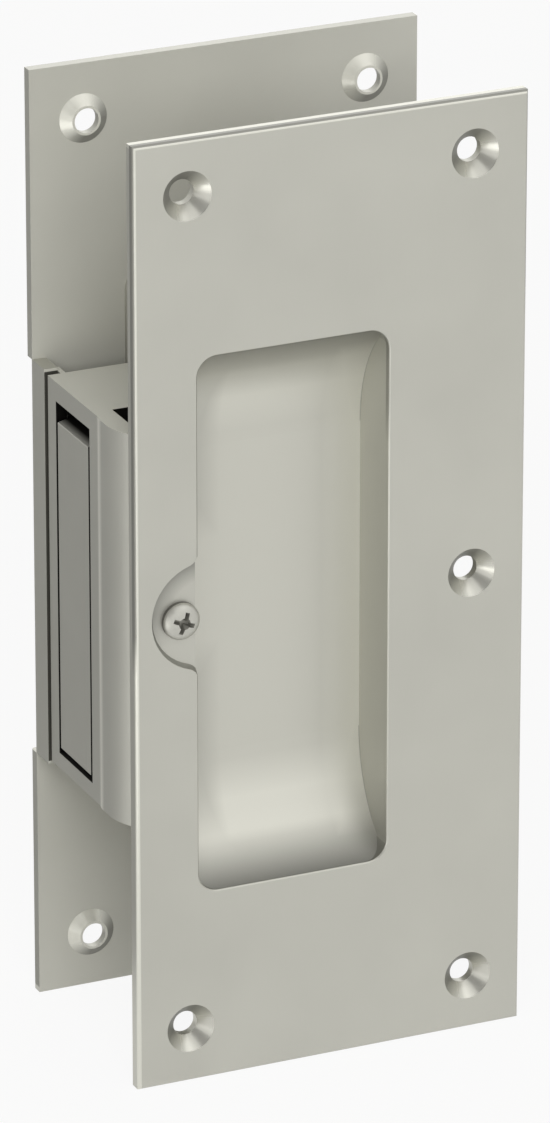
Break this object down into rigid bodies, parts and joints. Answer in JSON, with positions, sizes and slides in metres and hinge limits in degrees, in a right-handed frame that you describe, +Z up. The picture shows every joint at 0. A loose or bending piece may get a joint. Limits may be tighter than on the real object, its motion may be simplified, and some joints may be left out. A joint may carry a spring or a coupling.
{
  "type": "pocket door passage set",
  "caption": "Pocket door pull set: two rectangular plates with recessed finger cups clamp the door, and an edge case holds a sprung pull that swings out.",
  "frame": {"origin": "middle of the whole set, midway between the two plates' outer faces", "axes": "+X from the door's leading edge into the door, +Y from the front plate to the rear plate, +Z up"},
  "size_m": [0.0698, 0.0468, 0.165],
  "materials": {
    "satin_nickel": "satin nickel plate",
    "nickel_screw": "nickel plate",
    "steel": "plain turned steel",
    "spring_steel": "drawn wire",
    "brass": "plain turned brass",
    "nylon": "natural nylon"
  },
  "bodies": {
    "lock": {"front_plate": "satin_nickel", "rear_plate": "satin_nickel", "case_body": "satin_nickel", "case_cover": "satin_nickel", "pull_pin": "steel", "rest_stop_pin": "steel", "open_stop_pin": "steel", "pull_washer_front": "nylon", "pull_washer_rear": "nylon", "pull_spring": "spring_steel", "front_pillar": "brass", "rear_pillar": "brass", "front_lug_screw": "nickel_screw", "rear_lug_screw": "nickel_screw"},
    "pull": {"edge_pull": "satin_nickel"}
  },
  "joints": [
    {"name": "pull_swing", "type": "hinge", "parent": "lock", "child": "pull", "pos_m": [-0.02763, 0.00375, 0.01425], "axis": [0, 1, 0], "range_deg": [0, 47], "stiffness_Nm_per_rad": 0.06, "springref_deg": -34.38, "deforming": ["pull_spring"]}
  ]
}
